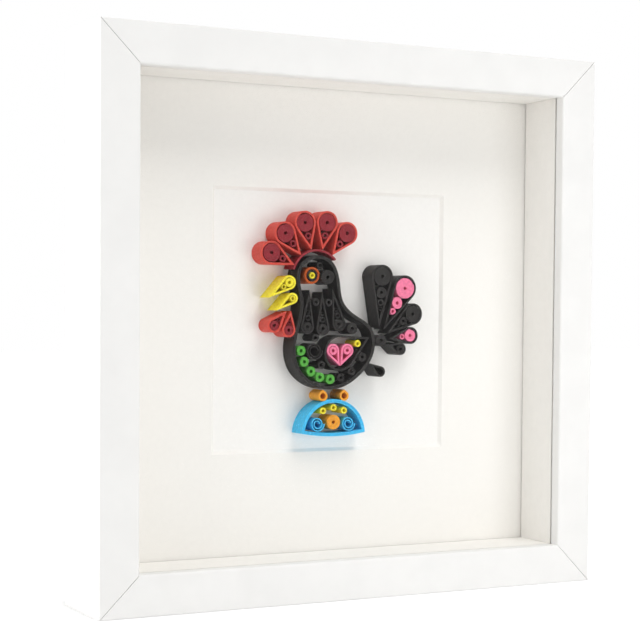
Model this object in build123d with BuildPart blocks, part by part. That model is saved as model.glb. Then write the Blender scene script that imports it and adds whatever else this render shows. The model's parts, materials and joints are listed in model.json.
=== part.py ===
"""A folk cockerel in quilled paper, in a deep white box frame.

The frame stands on its lower edge and faces -Y. X runs to the right, Y runs back towards the
wall and Z runs up. The origin is in the middle of the frame's underside. Lengths are in
millimetres, and depths are measured back from the front face of the frame. Places on the
paper figure are given from the middle of the frame, X to the right and Y up.
"""

import os
from math import asin, cos, degrees, hypot, radians, sin

from build123d import *

os.makedirs("parts", exist_ok=True)

# ---------------------------------------------------------------- driving dimensions

# Frame rails: an L section, with a lip in front and a wall behind it
frame_size = 250.0
frame_depth = 45.0
face_width = 18.0
lip_depth = 5.5
wall_width = 9.0
outer_edge_round = 0.4
inner_edge_round = 1.2
mitre_groove_width = 0.24
mitre_groove_depth = 0.6

# Sheets stacked behind the lip
sheet_clearance = 0.5
clear_sheet_gauge = 1.2
liner_slack = 0.6
mat_gauge = 1.4
mat_window = 121.0
card_gauge = 0.6
board_gauge = 3.0
recess_depth = 8.0

# Spring tabs that hold the board, two to a side
tab_gauge = 0.4
tab_width = 6.0
tab_reach = 10.0
tab_grip = 6.5
tab_offset = 65.0

# V nails across the mitres
nail_gauge = 0.5
nail_leg = 4.5
nail_spread = 70.0
nail_inset = 2.7
nail_depth = 8.0

# Sawtooth hanger, and the two rivets that hold it on the board
hanger_length = 44.0
hanger_height = 8.0
hanger_gauge = 0.8
hanger_lift = 2.2
hanger_foot = 8.0
hanger_slope = 2.0
hanger_below_top = 42.0
tooth_pitch = 3.0
tooth_depth = 1.6
tooth_count = 7
rivet_head_radius = 2.2
rivet_head_depth = 0.9
rivet_shank_radius = 1.1
rivet_clearance = 0.1

# Paper strips, glued on edge to the card
strip_depth = 10.0
outline_gauge = 1.6
loop_gauge = 0.9
coil_gauge = 0.45
coil_pitch = 1.15
coil_eye = 0.65
smallest_coil = 0.95
paper_gap = 0.08

# Figure: head, eye, beak and wattles
head_centre = (-12.0, 20.0)
eye_place = (-14.6, 20.8)
eye_radius = 1.6
eye_ring_radius = 2.7
eye_patch_radius = 4.0
cheek_place = (-6.5, 20.2)
cheek_radius = 3.5
crown_place = (-10.6, 25.6)
crown_radius = 1.7
beak_upper_tip = (-36.3, 10.6)
beak_lower_tip = (-32.6, 4.8)
beak_upper_size = (15.6, 6.4)
beak_lower_size = (12.4, 5.0)
beak_slope = 34.0
wattle_length = 12.0
wattle_width = 6.6

# Figure: comb, a band over the head with a fan of loops on it
comb_band_radius = 12.4
comb_band_past_first = 8.0
comb_band_past_last = 12.0
comb_first_angle = 155.0
comb_step = 25.5
comb_count = 5
comb_length = 18.0
comb_width = 10.6

# Figure: neck feathers, wing and breast
hackle_length = 20.0
hackle_width = 6.6
neck_coil_radius = 1.9
wing_centre = (0.2, -14.6)
wing_length = 25.0
wing_width = 16.4
wing_angle = 25.0
heart_point_drop = 6.2
heart_loop_length = 11.0
heart_loop_width = 6.2
heart_spread = 27.0
heart_gap = 0.32
wing_bead_reach = 10.2
breast_coil_radius = 4.0
back_coil_radius = 2.9
belly_coil_radius = 2.0
rump_coil_radius = 2.3
bud_radius = 2.4
bead_radius = 1.7

# Figure: tail, a fan of feathers about a coil on the rump
tail_centre = (20.2, -9.0)
tail_coil_place = (21.8, -9.0)
tail_start = 6.0
tail_coil_radius = 2.9
tail_first_angle = 86.0
tail_step = 26.0
feather_lengths = (29.5, 28.5, 21.5, 15.5, 9.5)
feather_widths = (11.0, 12.0, 10.0, 8.0, 5.8)
spur_length = 9.0
spur_width = 5.0

# Figure: domed base and legs
base_half_width = 16.5
base_height = 15.5
base_sag = 1.6
base_centre = (-3.0, -51.4)
base_rosette_radius = 3.6
base_rosette_rise = 5.0
base_coil_radius = 3.4
base_coil_rise = 4.2
base_coil_offset = 8.0
base_bead_reach = 11.6
base_bead_step = 28.0
leg_rise = 4.4
leg_spacing = 11.0
leg_length = 5.2
leg_width = 4.6

# ---------------------------------------------------------------- sizes that follow

stack = clear_sheet_gauge + liner_slack + mat_gauge + card_gauge + board_gauge
liner_depth = frame_depth - recess_depth - stack - lip_depth
clear_sheet_front = lip_depth
liner_front = clear_sheet_front + clear_sheet_gauge
liner_back = liner_front + liner_depth
mat_front = liner_back + liner_slack
card_front = mat_front + mat_gauge
board_front = card_front + card_gauge
board_back = board_front + board_gauge
opening = frame_size - 2 * face_width
rabbet = frame_size - 2 * wall_width
sheet_size = rabbet - 2 * sheet_clearance
liner_width = (sheet_size - opening) / 2
half_size = frame_size / 2
hanger_level = half_size - hanger_below_top
rivet_spacing = hanger_length - hanger_foot
tooth_side = hypot(tooth_pitch / 2, tooth_depth)


def facing(depth):
    """The plane at this depth, seen from the front: its Y is up and its Z points at the viewer."""
    return Plane(origin=(0, depth - frame_depth / 2, half_size), x_dir=(1, 0, 0), z_dir=(0, -1, 0))


def save(piece, name):
    piece.part.label = name
    export_step(piece.part, f"parts/{name}.step")


# ---------------------------------------------------------------- frame rails

SIDES = {"bottom": 0, "right": 90, "top": 180, "left": 270}
frame_axis = Axis((0, 0, half_size), (0, -1, 0))
mitre_planes = [
    Plane(origin=(0, 0, half_size), x_dir=(0, 1, 0), z_dir=(1, 0, 1)),
    Plane(origin=(0, 0, half_size), x_dir=(0, 1, 0), z_dir=(-1, 0, 1)),
]


def draw_nail():
    """The V of a nail across the lower left mitre, its point towards the corner."""
    point = (nail_inset - half_size, nail_inset - half_size)
    for turn in (-nail_spread / 2, nail_spread / 2):
        with Locations(Location(point, 45 + turn)):
            Rectangle(nail_leg, nail_gauge, align=(Align.MIN, Align.CENTER))


def draw_tabs():
    """The two tabs of the bottom side, each half in its wall and half over the board."""
    with Locations((0, wall_width - half_size - tab_grip)):
        with GridLocations(2 * tab_offset, 1, 2, 1):
            Rectangle(tab_width, tab_grip + tab_reach, align=(Align.CENTER, Align.MIN))


with BuildPart() as bottom_rail:
    with BuildSketch(Plane.YZ.offset(-half_size)):
        with BuildLine():
            Polyline(
                (-frame_depth / 2, 0),
                (-frame_depth / 2, face_width),
                (-frame_depth / 2 + lip_depth, face_width),
                (-frame_depth / 2 + lip_depth, wall_width),
                (frame_depth / 2, wall_width),
                (frame_depth / 2, 0),
                close=True,
            )
        make_face()
    extrude(amount=frame_size)
    long_edges = bottom_rail.edges().filter_by(Axis.X)
    front_outer_edge, front_inner_edge = long_edges.group_by(Axis.Y)[0].sort_by(Axis.Z)
    back_outer_edge = long_edges.group_by(Axis.Y)[-1].sort_by(Axis.Z)[0]
    fillet([front_outer_edge, back_outer_edge], radius=outer_edge_round)
    fillet(front_inner_edge, radius=inner_edge_round)
    for mitre in mitre_planes:
        split(bisect_by=mitre, keep=Keep.BOTTOM)
    with BuildSketch(facing(mitre_groove_depth)):
        with Locations(Location((-half_size, -half_size), 45)):
            Rectangle(3 * face_width, mitre_groove_width)
        mirror(about=Plane.YZ)
    extrude(amount=mitre_groove_depth, mode=Mode.SUBTRACT)
    with BuildSketch(facing(frame_depth)):
        draw_nail()
        mirror(about=Plane.YZ)
    extrude(amount=nail_depth, mode=Mode.SUBTRACT)
    with BuildSketch(facing(board_back + tab_gauge)):
        draw_tabs()
    extrude(amount=tab_gauge, mode=Mode.SUBTRACT)

for side, turn in SIDES.items():
    with BuildPart() as rail:
        add(bottom_rail.part.rotate(frame_axis, turn))
    save(rail, f"rail_{side}")

with BuildPart() as corner_nail:
    with BuildSketch(facing(frame_depth)):
        draw_nail()
    extrude(amount=nail_depth)

with BuildPart() as corner_nails:
    for turn in SIDES.values():
        add(corner_nail.part.rotate(frame_axis, turn))
save(corner_nails, "corner_nails")

# ---------------------------------------------------------------- sheets inside the frame

with BuildPart() as clear_sheet:
    with BuildSketch(facing(liner_front)):
        Rectangle(sheet_size, sheet_size)
    extrude(amount=clear_sheet_gauge)
save(clear_sheet, "clear_sheet")

with BuildPart() as bottom_liner:
    with BuildSketch(facing(liner_back)):
        with Locations((0, -opening / 2)):
            Rectangle(sheet_size, liner_width, align=(Align.CENTER, Align.MAX))
    extrude(amount=liner_depth)
    for mitre in mitre_planes:
        split(bisect_by=mitre, keep=Keep.BOTTOM)

for side, turn in SIDES.items():
    with BuildPart() as liner:
        add(bottom_liner.part.rotate(frame_axis, turn))
    save(liner, f"liner_{side}")

with BuildPart() as window_mat:
    with BuildSketch(facing(card_front)):
        Rectangle(sheet_size, sheet_size)
    extrude(amount=mat_gauge)
    with BuildSketch(facing(mat_front)):
        Rectangle(mat_window, mat_window)
    extrude(amount=-mat_gauge, taper=45, mode=Mode.SUBTRACT)
save(window_mat, "window_mat")

with BuildPart() as card:
    with BuildSketch(facing(board_front)):
        Rectangle(sheet_size, sheet_size)
    extrude(amount=card_gauge)
save(card, "card")

with BuildPart() as back_board:
    with BuildSketch(facing(board_back)):
        Rectangle(sheet_size, sheet_size)
        with Locations((0, hanger_level)):
            with GridLocations(rivet_spacing, 1, 2, 1):
                Circle(rivet_shank_radius, mode=Mode.SUBTRACT)
    extrude(amount=board_gauge)
save(back_board, "back_board")

# ---------------------------------------------------------------- metal parts at the back

with BuildPart() as side_tabs:
    with BuildSketch(facing(board_back + tab_gauge)):
        draw_tabs()
    extrude(amount=tab_gauge)

with BuildPart() as spring_tabs:
    for turn in SIDES.values():
        add(side_tabs.part.rotate(frame_axis, turn))
save(spring_tabs, "spring_tabs")

bridge_half = hanger_length / 2 - hanger_foot
board_face = board_back - frame_depth / 2
with BuildPart() as hanger:
    with BuildSketch(Plane.XY.offset(half_size + hanger_level - hanger_height / 2)):
        with BuildLine():
            Polyline(
                (0, board_face + hanger_lift),
                (bridge_half - hanger_slope, board_face + hanger_lift),
                (bridge_half, board_face),
                (hanger_length / 2, board_face),
                (hanger_length / 2, board_face + hanger_gauge),
                (bridge_half + hanger_gauge / 2, board_face + hanger_gauge),
                (bridge_half - hanger_slope + hanger_gauge / 2, board_face + hanger_lift + hanger_gauge),
                (0, board_face + hanger_lift + hanger_gauge),
            )
            mirror(about=Plane.YZ)
        make_face()
    extrude(amount=hanger_height)
    with BuildSketch(facing(frame_depth)):
        with Locations((0, hanger_level - hanger_height / 2)):
            with GridLocations(tooth_pitch, 1, tooth_count, 1):
                Triangle(a=tooth_pitch, b=tooth_side, c=tooth_side, align=(Align.CENTER, Align.MIN))
    extrude(amount=recess_depth - hanger_lift, mode=Mode.SUBTRACT)
    with BuildSketch(facing(board_back + hanger_gauge)):
        with Locations((0, hanger_level)):
            with GridLocations(rivet_spacing, 1, 2, 1):
                Circle(rivet_shank_radius + rivet_clearance)
    extrude(amount=hanger_gauge, mode=Mode.SUBTRACT)
save(hanger, "sawtooth_hanger")

with BuildPart() as hanger_rivets:
    with BuildSketch(facing(board_back + hanger_gauge + rivet_head_depth)):
        with Locations((0, hanger_level)):
            with GridLocations(rivet_spacing, 1, 2, 1):
                Circle(rivet_head_radius)
    extrude(amount=rivet_head_depth)
    head_rims = hanger_rivets.edges().filter_by(GeomType.CIRCLE).group_by(Axis.Y)[-1]
    fillet(head_rims, radius=rivet_head_depth / 2)
    with BuildSketch(facing(board_back + hanger_gauge)):
        with Locations((0, hanger_level)):
            with GridLocations(rivet_spacing, 1, 2, 1):
                Circle(rivet_shank_radius)
    extrude(amount=hanger_gauge + board_gauge)
save(hanger_rivets, "hanger_rivets")

# ---------------------------------------------------------------- shapes of quilled paper


def along(start, angle, distance):
    """The point this far from the start, at this angle above the X axis."""
    return (start[0] + distance * cos(radians(angle)), start[1] + distance * sin(radians(angle)))


def placed(shape, point, angle=0):
    return shape.moved(Location((point[0], point[1], 0), (0, 0, angle)))


def teardrop(length, width, gauge=loop_gauge):
    """A loop of strip, pinched to a point at the origin and round at its far end on the X axis."""
    radius = width / 2
    reach = length - radius
    turn = 90 + degrees(asin(radius / reach))
    with BuildSketch(mode=Mode.PRIVATE) as loop:
        with BuildLine():
            end = CenterArc((reach, 0), radius, -turn, 2 * turn)
            Polyline(end @ 1, (0, 0), end @ 0)
        make_face()
        offset(amount=-gauge, mode=Mode.SUBTRACT)
    return loop.sketch


def tight_coil(radius, inner_radius=coil_eye):
    """A strip wound tight, with a small eye where the winding starts."""
    with BuildSketch(mode=Mode.PRIVATE) as coil:
        Circle(radius)
        Circle(min(inner_radius, radius - coil_gauge), mode=Mode.SUBTRACT)
    return coil.sketch


def open_coil(radius, pitch=coil_pitch):
    """A strip let out into an even spiral: half circles that grow by half the pitch."""
    outer = radius - coil_gauge / 2
    halves = 2 * max(1, int((outer - coil_eye) / pitch))
    with BuildSketch(mode=Mode.PRIVATE) as coil:
        with BuildLine():
            for step in range(halves):
                upper = (halves - step) % 2 == 0
                centre = -pitch / 2 if upper else 0
                half_radius = outer - (halves - 1 - step) * pitch / 2
                CenterArc((centre, 0), half_radius, 0 if upper else 180, 180)
        trace(line_width=coil_gauge)
    return coil.sketch


def coil_row(length, width):
    """The radius and the distance from the point of each coil that packs a teardrop, largest first."""
    slope = width / 2 / (length - width / 2)
    margin = loop_gauge + paper_gap
    radius = width / 2 - margin
    distance = length - width / 2
    row = []
    while radius > smallest_coil:
        row.append((radius, distance))
        next_radius = (slope * (distance - radius - paper_gap) - margin) / (1 + slope)
        distance -= radius + paper_gap + next_radius
        radius = next_radius
    return row


def packed_coils(length, width):
    """The tight coils that pack a teardrop, from its round end to its point."""
    row = coil_row(length, width)
    return [placed(tight_coil(radius), (distance, 0)) for radius, distance in row]


def quill(name, *shapes):
    """Stands the drawn strips on edge on the card, and writes them as one node."""
    with BuildPart() as paper:
        with BuildSketch(facing(card_front)):
            for shape in shapes:
                add(shape)
        extrude(amount=strip_depth)
    save(paper, name)


# ---------------------------------------------------------------- head, neck and body

with BuildSketch() as body_line:
    with BuildLine():
        Spline(
            (-21.5, 20),
            (-15.5, 28.6),
            (-6, 27.8),
            (-1.2, 19),
            (0.8, 9),
            (8, 2),
            (16.0, -3.5),
            (17.6, -12.5),
            (11, -23.5),
            (-1, -30.2),
            (-13, -29),
            (-21.5, -21.5),
            (-23.4, -10),
            (-20.8, 0),
            (-19.8, 10),
            periodic=True,
        )
    trace(line_width=outline_gauge)
quill("body_outline", body_line.sketch)

quill("eye_centre", placed(tight_coil(eye_radius), eye_place))
quill("eye_ring", placed(tight_coil(eye_ring_radius, eye_radius + paper_gap), eye_place))
quill("eye_patch", placed(tight_coil(eye_patch_radius, eye_ring_radius + paper_gap), eye_place))
cheek = placed(tight_coil(cheek_radius), cheek_place)
crown = placed(tight_coil(crown_radius), crown_place)
quill("head_coils", cheek, crown)

beak_halves = (("upper", beak_upper_size, beak_upper_tip), ("lower", beak_lower_size, beak_lower_tip))
for name, size, tip in beak_halves:
    quill(f"beak_{name}", placed(teardrop(*size), tip, beak_slope))
    quill(f"beak_{name}_coils", *[placed(coil, tip, beak_slope) for coil in packed_coils(*size)])

wattle_places = (((-25.2, 4.6), -97), ((-27.6, 4.4), -133))
quill("wattles", *[placed(teardrop(wattle_length, wattle_width), *place) for place in wattle_places])
wattle_coils = [
    placed(coil, *place) for place in wattle_places for coil in packed_coils(wattle_length, wattle_width)
]
quill("wattle_coils", *wattle_coils)

comb_last_angle = comb_first_angle - comb_step * (comb_count - 1)
band_start = comb_last_angle - comb_band_past_last
band_end = comb_first_angle + comb_band_past_first
with BuildSketch() as comb_band:
    with BuildLine():
        CenterArc(head_centre, comb_band_radius, band_start, band_end - band_start)
    trace(line_width=loop_gauge)
quill("comb_band", comb_band.sketch)

comb_root = comb_band_radius + loop_gauge / 2 + paper_gap
comb_places = []
for index in range(comb_count):
    angle = comb_first_angle - comb_step * index
    comb_places.append((along(head_centre, angle, comb_root), angle))
quill("comb_loops", *[placed(teardrop(comb_length, comb_width), *place) for place in comb_places])
comb_fill = packed_coils(comb_length, comb_width)
quill("comb_coils", *[placed(coil, *place) for place in comb_places for coil in comb_fill])

hackle_places = (((-15.9, 14.2), -93), ((-9.4, 13.4), -88), ((-4.2, 15.0), -77))
quill("hackle_loops", *[placed(teardrop(hackle_length, hackle_width), *place) for place in hackle_places])
hackle_fill = packed_coils(hackle_length, hackle_width)
quill("hackle_coils", *[placed(coil, *place) for place in hackle_places for coil in hackle_fill])
neck_places = ((-12.6, 8.6), (-6.0, 8.6), (-12.8, -7.6))
quill("neck_coils", *[placed(tight_coil(neck_coil_radius), place) for place in neck_places])

# ---------------------------------------------------------------- wing and body filling

wing_tip = along(wing_centre, wing_angle, wing_length - wing_width / 2)
quill("wing_outline", placed(teardrop(wing_length, wing_width), wing_tip, wing_angle + 180))

heart_point = (wing_centre[0], wing_centre[1] - heart_point_drop)
heart_loops = []
heart_coils = []
for lean in (-heart_spread, heart_spread):
    root = along(heart_point, 90 + lean, heart_gap)
    heart_loops.append(placed(teardrop(heart_loop_length, heart_loop_width), root, 90 + lean))
    heart_coils += [
        placed(coil, root, 90 + lean) for coil in packed_coils(heart_loop_length, heart_loop_width)
    ]
quill("wing_heart", *heart_loops)
quill("wing_heart_coils", *heart_coils)
quill("wing_bead", placed(tight_coil(bead_radius), along(wing_centre, wing_angle, wing_bead_reach)))

bud_places = ((-19.9, -13.4), (-18.4, -18.6), (-14.9, -22.9), (-10.2, -25.6), (-4.8, -26.6))
quill("breast_buds", *[placed(tight_coil(bud_radius), place) for place in bud_places])
quill("breast_coil", placed(open_coil(breast_coil_radius), (-12.8, -13.6)))
quill("back_coil", placed(tight_coil(back_coil_radius), (6.4, -3.4)))
belly_places = ((-9.4, -20.2), (0.8, -26.0), (6.2, -23.2))
quill("belly_coils", *[placed(tight_coil(belly_coil_radius), place) for place in belly_places])
quill("rump_coil", placed(tight_coil(rump_coil_radius), (12.0, -16.6)))

# ---------------------------------------------------------------- tail

quill("tail_coil", placed(tight_coil(tail_coil_radius), tail_coil_place))
feather_names = ("top", "upper", "middle", "lower", "bottom")
for index, (feather, length, width) in enumerate(zip(feather_names, feather_lengths, feather_widths)):
    angle = tail_first_angle - tail_step * index
    root = along(tail_centre, angle, tail_start)
    quill(f"feather_{feather}", placed(teardrop(length, width), root, angle))
    quill(f"feather_{feather}_coils", *[placed(coil, root, angle) for coil in packed_coils(length, width)])

quill("spur", placed(teardrop(spur_length, spur_width), (16.2, -19.6), -36))

# ---------------------------------------------------------------- legs and domed base

leg_top = base_centre[1] + base_height + leg_rise
leg_places = [(base_centre[0] + offset_x, leg_top) for offset_x in (-leg_spacing / 2, leg_spacing / 2)]
quill("legs", *[placed(teardrop(leg_length, leg_width), place, -90) for place in leg_places])

with BuildSketch() as base_line:
    with BuildLine():
        left = (base_centre[0] - base_half_width, base_centre[1])
        right = (base_centre[0] + base_half_width, base_centre[1])
        ThreePointArc(left, (base_centre[0], base_centre[1] + base_height), right)
        ThreePointArc(right, (base_centre[0], base_centre[1] - base_sag), left)
    make_face()
    offset(amount=-outline_gauge, mode=Mode.SUBTRACT)
quill("base_outline", base_line.sketch)

rosette_place = along(base_centre, 90, base_rosette_rise)
quill("base_rosette", placed(tight_coil(base_rosette_radius), rosette_place))
coil_level = base_centre[1] + base_coil_rise
coil_spots = [(base_centre[0] + shift, coil_level) for shift in (-base_coil_offset, base_coil_offset)]
quill("base_coils", *[placed(open_coil(base_coil_radius), spot) for spot in coil_spots])
bead_angles = (90 - base_bead_step, 90, 90 + base_bead_step)
bead_spots = [along(base_centre, angle, base_bead_reach) for angle in bead_angles]
quill("base_beads", *[placed(tight_coil(bead_radius), spot) for spot in bead_spots])
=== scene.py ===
import json
import math
import random

import bmesh
import bpy
from mathutils import Matrix, Vector


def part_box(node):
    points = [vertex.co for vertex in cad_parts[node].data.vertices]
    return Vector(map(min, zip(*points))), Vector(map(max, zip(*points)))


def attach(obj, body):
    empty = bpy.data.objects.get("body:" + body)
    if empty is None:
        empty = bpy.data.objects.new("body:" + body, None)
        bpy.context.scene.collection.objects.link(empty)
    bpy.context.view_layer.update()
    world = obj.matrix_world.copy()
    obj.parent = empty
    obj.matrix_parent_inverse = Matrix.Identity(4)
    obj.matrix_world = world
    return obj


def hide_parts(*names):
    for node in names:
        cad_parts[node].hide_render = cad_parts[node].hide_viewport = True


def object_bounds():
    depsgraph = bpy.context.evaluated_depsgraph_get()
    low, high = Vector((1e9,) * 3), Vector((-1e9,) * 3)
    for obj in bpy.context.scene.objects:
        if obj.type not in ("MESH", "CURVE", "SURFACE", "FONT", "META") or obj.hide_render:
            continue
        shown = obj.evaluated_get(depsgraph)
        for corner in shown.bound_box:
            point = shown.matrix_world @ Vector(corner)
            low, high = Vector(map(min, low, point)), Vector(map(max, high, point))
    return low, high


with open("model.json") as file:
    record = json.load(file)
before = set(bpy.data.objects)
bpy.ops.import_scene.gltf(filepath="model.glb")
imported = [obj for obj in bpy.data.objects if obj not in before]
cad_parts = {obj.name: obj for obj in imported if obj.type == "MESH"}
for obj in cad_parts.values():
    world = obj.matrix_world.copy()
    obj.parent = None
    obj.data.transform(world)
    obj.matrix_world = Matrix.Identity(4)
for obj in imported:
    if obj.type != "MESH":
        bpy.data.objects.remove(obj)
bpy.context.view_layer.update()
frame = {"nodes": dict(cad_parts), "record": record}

nodes = frame["nodes"]
scene = bpy.context.scene
MM = 0.001

# ---------------------------------------------------------------- materials


def new_material(name, color, roughness, specular=0.5):
    """A Principled material with its tree, its shader and its texture coordinates."""
    material = bpy.data.materials.new(name)
    material.use_nodes = True
    tree = material.node_tree
    shader = tree.nodes["Principled BSDF"]
    shader.inputs["Base Color"].default_value = (*color, 1)
    shader.inputs["Roughness"].default_value = roughness
    shader.inputs["Specular IOR Level"].default_value = specular
    coords = tree.nodes.new("ShaderNodeTexCoord")
    return material, tree, shader, coords


def noise(tree, coords, scale, detail=3.0, stretch=None):
    """A noise texture on object coordinates, in features per metre."""
    texture = tree.nodes.new("ShaderNodeTexNoise")
    texture.inputs["Scale"].default_value = scale
    texture.inputs["Detail"].default_value = detail
    source = coords.outputs["Object"]
    if stretch:
        mapping = tree.nodes.new("ShaderNodeMapping")
        mapping.inputs["Scale"].default_value = stretch
        tree.links.new(source, mapping.inputs["Vector"])
        source = mapping.outputs["Vector"]
    tree.links.new(source, texture.inputs["Vector"])
    return texture


def tint(tree, shader, texture, low, high, start=0.35, stop=0.65):
    """Base colour that wanders between two colours."""
    ramp = tree.nodes.new("ShaderNodeValToRGB")
    ramp.color_ramp.elements[0].position = start
    ramp.color_ramp.elements[1].position = stop
    ramp.color_ramp.elements[0].color = (*low, 1)
    ramp.color_ramp.elements[1].color = (*high, 1)
    tree.links.new(texture.outputs["Fac"], ramp.inputs["Fac"])
    tree.links.new(ramp.outputs["Color"], shader.inputs["Base Color"])


def bump(tree, shader, texture, strength, distance):
    node = tree.nodes.new("ShaderNodeBump")
    node.inputs["Strength"].default_value = strength
    node.inputs["Distance"].default_value = distance
    tree.links.new(texture.outputs["Fac"], node.inputs["Height"])
    tree.links.new(node.outputs["Normal"], shader.inputs["Normal"])


def scaled(color, factor):
    return tuple(min(1.0, channel * factor) for channel in color)


def paper_material(name, color, roughness=0.62):
    """Dyed quilling paper: even colour with faint fibres."""
    material, tree, shader, coords = new_material(name, color, roughness, 0.3)
    tint(tree, shader, noise(tree, coords, 900), scaled(color, 0.86), scaled(color, 1.12))
    bump(tree, shader, noise(tree, coords, 2600, 4), 0.25, 0.00008)
    return material


def board_material(name, color, spread, grain, depth, roughness=0.85):
    """Card, mat or liner: nearly white, with a fine tooth."""
    material, tree, shader, coords = new_material(name, color, roughness, 0.25)
    tint(tree, shader, noise(tree, coords, grain), scaled(color, 1 - spread), scaled(color, 1 + spread))
    bump(tree, shader, noise(tree, coords, grain * 2.5, 5), 0.35, depth)
    return material


def frame_material():
    """White foil on the rails: a satin skin with the faintest grain."""
    color = (0.83, 0.825, 0.81)
    material, tree, shader, coords = new_material("frame_foil", color, 0.42, 0.45)
    tint(tree, shader, noise(tree, coords, 60, 4), scaled(color, 0.985), scaled(color, 1.015))
    bump(tree, shader, noise(tree, coords, 1500, 3), 0.12, 0.00006)
    return material


def hardboard_material():
    color = (0.25, 0.14, 0.075)
    material, tree, shader, coords = new_material("hardboard", color, 0.6, 0.35)
    tint(tree, shader, noise(tree, coords, 700, 8), scaled(color, 0.6), scaled(color, 1.45), 0.3, 0.7)
    bump(tree, shader, noise(tree, coords, 1400, 6), 0.4, 0.0001)
    return material


def steel_material():
    color = (0.6, 0.6, 0.59)
    material, tree, shader, coords = new_material("zinc_plate", color, 0.32)
    shader.inputs["Metallic"].default_value = 1.0
    tint(tree, shader, noise(tree, coords, 900, 4), scaled(color, 0.8), scaled(color, 1.15))
    bump(tree, shader, noise(tree, coords, 500, 4, (1, 1, 12)), 0.15, 0.00003)
    return material


def clear_material():
    """Low-reflection clear sheet: light goes straight through, with a faint sheen at a slant."""
    material, tree, shader, coords = new_material("clear_sheet", (0.98, 0.98, 0.98), 0.03)
    bump(tree, shader, noise(tree, coords, 25, 2), 0.02, 0.00005)
    clear = tree.nodes.new("ShaderNodeBsdfTransparent")
    clear.inputs["Color"].default_value = (0.997, 0.999, 0.998, 1)
    slant = tree.nodes.new("ShaderNodeLayerWeight")
    slant.inputs["Blend"].default_value = 0.02
    mix = tree.nodes.new("ShaderNodeMixShader")
    tree.links.new(slant.outputs["Facing"], mix.inputs[0])
    tree.links.new(clear.outputs[0], mix.inputs[1])
    tree.links.new(shader.outputs[0], mix.inputs[2])
    tree.links.new(mix.outputs[0], tree.nodes["Material Output"].inputs["Surface"])
    return material


MATERIALS = {
    "frame_white": frame_material(),
    "liner_white": board_material("liner_wrap", (0.90, 0.878, 0.842), 0.01, 260, 0.00005),
    "clear_plastic": clear_material(),
    "mat_white": board_material("mat_board", (0.92, 0.897, 0.86), 0.008, 420, 0.00004),
    "card_white": board_material("card", (0.93, 0.912, 0.885), 0.01, 700, 0.00002),
    "board_brown": hardboard_material(),
    "steel": steel_material(),
    "paper_red": paper_material("paper_red", (0.64, 0.07, 0.05)),
    "paper_dark_red": paper_material("paper_dark_red", (0.27, 0.017, 0.027)),
    "paper_black": paper_material("paper_black", (0.014, 0.012, 0.011), 0.6),
    "paper_yellow": paper_material("paper_yellow", (0.95, 0.80, 0.04)),
    "paper_orange": paper_material("paper_orange", (0.85, 0.36, 0.03)),
    "paper_brown": paper_material("paper_brown", (0.50, 0.09, 0.012)),
    "paper_pink": paper_material("paper_pink", (0.95, 0.22, 0.38)),
    "paper_green": paper_material("paper_green", (0.09, 0.40, 0.05)),
    "paper_blue": paper_material("paper_blue", (0.06, 0.52, 0.86)),
}
slot_of = {part["node"]: part["material_slot"] for part in frame["record"]["subparts"]}
for name, node in nodes.items():
    node.data.materials.clear()
    node.data.materials.append(MATERIALS[slot_of[name]])

# ---------------------------------------------------------------- soft edges on the liners


def soften(name, width):
    """Rounds a CAD node's corners a little, so that its edges and mitres show."""
    weld = nodes[name].modifiers.new("weld", "WELD")
    weld.merge_threshold = 0.002 * MM
    bevel = nodes[name].modifiers.new("edges", "BEVEL")
    bevel.width = width
    bevel.segments = 2
    bevel.limit_method = "ANGLE"
    bevel.angle_limit = math.radians(35)
    bevel.harden_normals = True


for side in ("top", "bottom", "left", "right"):
    soften(f"liner_{side}", 0.25 * MM)

# ---------------------------------------------------------------- the paper strips


def front_loops(node):
    """The closed outlines of a node's front faces, each a list of (x, z)."""
    mesh = bmesh.new()
    mesh.from_mesh(node.data)
    bmesh.ops.remove_doubles(mesh, verts=mesh.verts, dist=0.001 * MM)
    front = min(vertex.co.y for vertex in mesh.verts)
    hidden = [face for face in mesh.faces if any(v.co.y > front + 0.01 * MM for v in face.verts)]
    bmesh.ops.delete(mesh, geom=hidden, context="FACES")
    step = {}
    for edge in mesh.edges:
        if edge.is_boundary:
            loop = edge.link_loops[0]
            step[loop.vert] = loop.link_loop_next.vert
    outlines = []
    while step:
        start, vertex = step.popitem()
        outline = [start]
        while vertex is not start:
            outline.append(vertex)
            vertex = step.pop(vertex)
        outlines.append([Vector((v.co.x, v.co.z)) for v in outline])
    mesh.free()
    return outlines


def area(outline):
    return sum(a.x * b.y - b.x * a.y for a, b in zip(outline, outline[1:] + outline[:1])) / 2


def inside(point, outline):
    hit = False
    for a, b in zip(outline, outline[1:] + outline[:1]):
        if (a.y > point.y) != (b.y > point.y):
            crossing = (b.x - a.x) * (point.y - a.y) / (b.y - a.y) + a.x
            if point.x < crossing:
                hit = not hit
    return hit


def rings(node):
    """Each closed strip of a node, as its outer and its inner outline, both anticlockwise."""
    outlines = [line if area(line) > 0 else line[::-1] for line in front_loops(node)]
    outlines.sort(key=area, reverse=True)
    pairs = []
    while outlines:
        outer = outlines.pop(0)
        inner = next((line for line in outlines if inside(line[0], outer)), None)
        if inner is not None:
            outlines.remove(inner)
        pairs.append((outer, inner))
    return pairs


def round_shape(outline):
    """(centre, radius) of a circular outline, or None."""
    low = Vector((min(p.x for p in outline), min(p.y for p in outline)))
    high = Vector((max(p.x for p in outline), max(p.y for p in outline)))
    centre = (low + high) / 2
    reach = [(p - centre).length for p in outline]
    if max(reach) - min(reach) < 0.03 * max(reach) and len(outline) > 8:
        return centre, max(reach)
    return None


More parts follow.
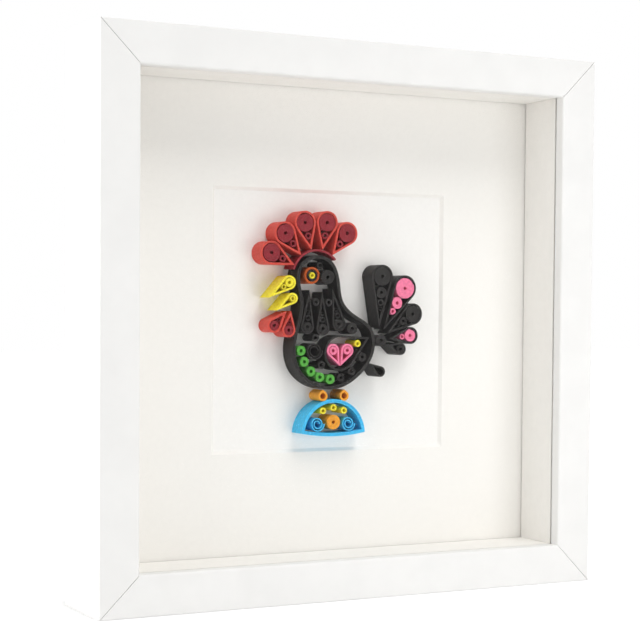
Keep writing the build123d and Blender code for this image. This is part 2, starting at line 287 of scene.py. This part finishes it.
def inset(outline, depth):
    """The outline moved inwards by this depth, its corners kept sharp."""
    moved = []
    for before, here, after in zip(outline[-1:] + outline[:-1], outline, outline[1:] + outline[:1]):
        a = (here - before).normalized()
        b = (after - here).normalized()
        normal_a = Vector((-a.y, a.x))
        normal_b = Vector((-b.y, b.x))
        moved.append(here + (normal_a + normal_b) * (depth / max(0.02, 1 + normal_a.dot(normal_b))))
    return moved


def finely(line_pairs, longest=0.9 * MM):
    """Pairs of matching points along two outlines, with the long straights cut into short steps."""
    fine = []
    for (a, b), (c, d) in zip(line_pairs, line_pairs[1:] + line_pairs[:1]):
        cuts = max(1, math.ceil((c - a).length / longest))
        fine += [(a.lerp(c, i / cuts), b.lerp(d, i / cuts)) for i in range(cuts)]
    return fine


COIL_PITCH = 0.40 * MM
COIL_GAP = 0.035 * MM
COIL_STEPS = 40
LEAF_GAUGE = 0.42 * MM
LEAF_GAP = 0.03 * MM
EDGE_CROWN = 0.05 * MM
SAME_CENTRE = 0.05 * MM


class Paper:
    """Collects strips of paper that stand on edge on the card, as one mesh."""

    def __init__(self, name):
        self.name = name
        self.mesh = bmesh.new()
        self.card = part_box(name)[1].y
        self.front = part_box(name)[0].y

    def section(self, outer, inner, level):
        """The five points across a strip, from card to front edge and back."""
        middle = (outer + inner) / 2
        profile = (
            (outer, self.card),
            (outer, level + EDGE_CROWN),
            (middle, level),
            (inner, level + EDGE_CROWN),
            (inner, self.card),
        )
        return [self.mesh.verts.new((point.x, y, point.y)) for point, y in profile]

    def skin(self, sections, closed):
        following = sections[1:] + sections[:1] if closed else sections[1:]
        for here, after in zip(sections, following):
            for i in range(4):
                self.mesh.faces.new((here[i], here[i + 1], after[i + 1], after[i]))
        if not closed:
            self.mesh.faces.new(sections[0])
            self.mesh.faces.new(sections[-1][::-1])

    def wound(self, centre, inner, outer):
        """A strip wound tight from the inner radius to the outer one."""
        turns = max(2, round((outer - inner) / COIL_PITCH))
        pitch = (outer - inner) / (turns + 1)
        begin = random.uniform(0, 2 * math.pi)
        hand = random.choice((-1, 1))
        raised = random.uniform(-0.12, 0.18) * MM
        tilt = random.uniform(-0.012, 0.012), random.uniform(-0.012, 0.012)
        wave = [random.uniform(-0.045, 0.045) * MM for _ in range(turns + 2)]
        sections = []
        for i in range(turns * COIL_STEPS + 1):
            turn = i / COIL_STEPS
            angle = begin + hand * 2 * math.pi * turn
            ray = Vector((math.cos(angle), math.sin(angle)))
            radius = inner + pitch * turn
            k = int(turn)
            blend = turn - k
            level = self.front - raised + wave[k] * (1 - blend) + wave[k + 1] * blend
            level += ray.x * radius * tilt[0] + ray.y * radius * tilt[1]
            outside = centre + ray * (radius + pitch - COIL_GAP)
            sections.append(self.section(outside, centre + ray * radius, level))
        self.skin(sections, False)

    def layered(self, outer, gauge):
        """A closed strip of a few leaves glued together."""
        leaves = max(2, round(gauge / LEAF_GAUGE))
        leaf = gauge / leaves
        for k in range(leaves):
            outside = inset(outer, k * leaf)
            pairs = finely(list(zip(outside, inset(outer, (k + 1) * leaf - LEAF_GAP))))
            raised = random.uniform(-0.10, 0.14) * MM
            phase = random.uniform(0, 6.3)
            waves = random.choice((2, 3, 5))
            sections = []
            for i, (out, back) in enumerate(pairs):
                sway = math.sin(phase + 2 * math.pi * waves * i / len(pairs)) * 0.05 * MM
                sections.append(self.section(out, back, self.front - raised + sway))
            self.skin(sections, True)

    def done(self):
        bmesh.ops.recalc_face_normals(self.mesh, faces=self.mesh.faces)
        data = bpy.data.meshes.new(self.name + "_strips")
        self.mesh.to_mesh(data)
        self.mesh.free()
        data.materials.append(MATERIALS[slot_of[self.name]])
        piece = bpy.data.objects.new(self.name + "_strips", data)
        scene.collection.objects.link(piece)
        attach(piece, "root")
        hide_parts(self.name)
        return piece


def gauge_of(outer, inner):
    """How thick the strip is, taken where its two outlines run closest."""
    return min((a - b).length for a in outer[:: max(1, len(outer) // 40)] for b in inner)


random.seed(11)
for name in sorted(nodes):
    if not slot_of[name].startswith("paper_"):
        continue
    pairs = rings(nodes[name])
    if any(inner is None for _, inner in pairs):
        continue
    paper = Paper(name)
    for outer, inner in pairs:
        circle = round_shape(outer)
        hole = round_shape(inner)
        if circle and hole and (circle[0] - hole[0]).length < SAME_CENTRE:
            paper.wound(circle[0], hole[1], circle[1])
        else:
            paper.layered(outer, gauge_of(outer, inner))
    paper.done()

# ---------------------------------------------------------------- floor, light and camera

low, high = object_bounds()
middle = (low + high) / 2

FLOOR_HALF = 4.0
FLOOR_LIFT = 0.49
FLOOR_CONTACT = 12 * MM
WORLD_LIGHT = 0.52


def looked_at(tree):
    """1 for a ray that comes from the camera, straight or by way of gloss or clear sheet, or else 0."""
    path = tree.nodes.new("ShaderNodeLightPath")

    def math_node(operation, a, b):
        node = tree.nodes.new("ShaderNodeMath")
        node.operation = operation
        tree.links.new(a, node.inputs[0])
        if isinstance(b, float):
            node.inputs[1].default_value = b
        else:
            tree.links.new(b, node.inputs[1])
        return node.outputs[0]

    seen = math_node("MAXIMUM", path.outputs["Is Camera Ray"], path.outputs["Is Glossy Ray"])
    seen = math_node("MAXIMUM", seen, path.outputs["Is Transmission Ray"])
    undimmed = math_node("LESS_THAN", path.outputs["Diffuse Depth"], 0.5)
    return math_node("MULTIPLY", seen, undimmed)


floor_mesh = bpy.data.meshes.new("floor")
floor_corners = [(x * FLOOR_HALF, y * FLOOR_HALF, 0) for x, y in ((-1, -1), (1, -1), (1, 1), (-1, 1))]
floor_mesh.from_pydata(floor_corners, [], [(0, 1, 2, 3)])
floor = bpy.data.objects.new("floor", floor_mesh)
scene.collection.objects.link(floor)
material, tree, shader, coords = new_material("floor", (0.97, 0.97, 0.97), 0.9, 0.1)
tint(tree, shader, noise(tree, coords, 3), (0.965, 0.965, 0.965), (0.975, 0.975, 0.975))
# Camera rays see the floor lifted by a glow of up to FLOOR_LIFT so that it reads white. Within
# FLOOR_CONTACT of the frame this glow fades with ambient occlusion, a painted contact shadow laid over
# the floor's real shading.
camera_glow = tree.nodes.new("ShaderNodeEmission")
open_floor = tree.nodes.new("ShaderNodeAmbientOcclusion")
open_floor.inputs["Distance"].default_value = FLOOR_CONTACT
painted_contact_shade = tree.nodes.new("ShaderNodeMapRange")
painted_contact_shade.inputs["From Min"].default_value = 0.5
painted_contact_shade.inputs["To Max"].default_value = FLOOR_LIFT
tree.links.new(open_floor.outputs["AO"], painted_contact_shade.inputs["Value"])
tree.links.new(painted_contact_shade.outputs["Result"], camera_glow.inputs["Strength"])
black = tree.nodes.new("ShaderNodeEmission")
black.inputs["Strength"].default_value = 0.0
choose = tree.nodes.new("ShaderNodeMixShader")
both = tree.nodes.new("ShaderNodeAddShader")
tree.links.new(looked_at(tree), choose.inputs[0])
tree.links.new(black.outputs[0], choose.inputs[1])
tree.links.new(camera_glow.outputs[0], choose.inputs[2])
tree.links.new(shader.outputs[0], both.inputs[0])
tree.links.new(choose.outputs[0], both.inputs[1])
tree.links.new(both.outputs[0], tree.nodes["Material Output"].inputs["Surface"])
floor_mesh.materials.append(material)

world = bpy.data.worlds.new("studio")
scene.world = world
world.use_nodes = True
background = world.node_tree.nodes["Background"]
background.inputs["Color"].default_value = (1.0, 1.0, 1.0, 1)
background.inputs["Strength"].default_value = WORLD_LIGHT
camera_side = world.node_tree.nodes.new("ShaderNodeBackground")
camera_side.inputs["Color"].default_value = (1.0, 1.0, 1.0, 1)
camera_side.inputs["Strength"].default_value = 1.0
mix = world.node_tree.nodes.new("ShaderNodeMixShader")
links = world.node_tree.links
links.new(looked_at(world.node_tree), mix.inputs[0])
links.new(background.outputs[0], mix.inputs[1])
links.new(camera_side.outputs[0], mix.inputs[2])
links.new(mix.outputs[0], world.node_tree.nodes["World Output"].inputs["Surface"])


def softbox(name, place, aim, size, power):
    light = bpy.data.lights.new(name, "AREA")
    light.shape = "SQUARE"
    light.size = size
    light.energy = power
    lamp = bpy.data.objects.new(name, light)
    lamp.location = place
    lamp.rotation_euler = (aim - Vector(place)).to_track_quat("-Z", "Y").to_euler()
    scene.collection.objects.link(lamp)


softbox("key", (0.20, -0.40, 0.04), Vector((0.05, 0, 0.02)), 0.24, 0.5)
softbox("overhead", (0.10, -0.45, 0.95), middle, 0.5, 4.0)
softbox("left_fill", (-1.0, -0.35, 0.15), middle, 0.5, 1.5)
softbox("left_rim", (-0.9, 0.12, 0.22), middle, 0.5, 3.6)

camera_data = bpy.data.cameras.new("camera")
camera_data.sensor_width = 36.0
camera_data.lens = 93.1
camera_data.shift_y = 0.0845
camera_data.clip_start = 0.01
camera = bpy.data.objects.new("camera", camera_data)
turn = Matrix.Rotation(math.radians(-27.364), 4, "Z")
tip = Matrix.Rotation(math.radians(90 - 2.275), 4, "X")
roll = Matrix.Rotation(math.radians(0.417), 4, "Z")
camera.matrix_world = Matrix.Translation((-0.3587, -0.6724, 0.1309)) @ turn @ tip @ roll
scene.collection.objects.link(camera)
scene.camera = camera

scene.view_settings.view_transform = "Standard"
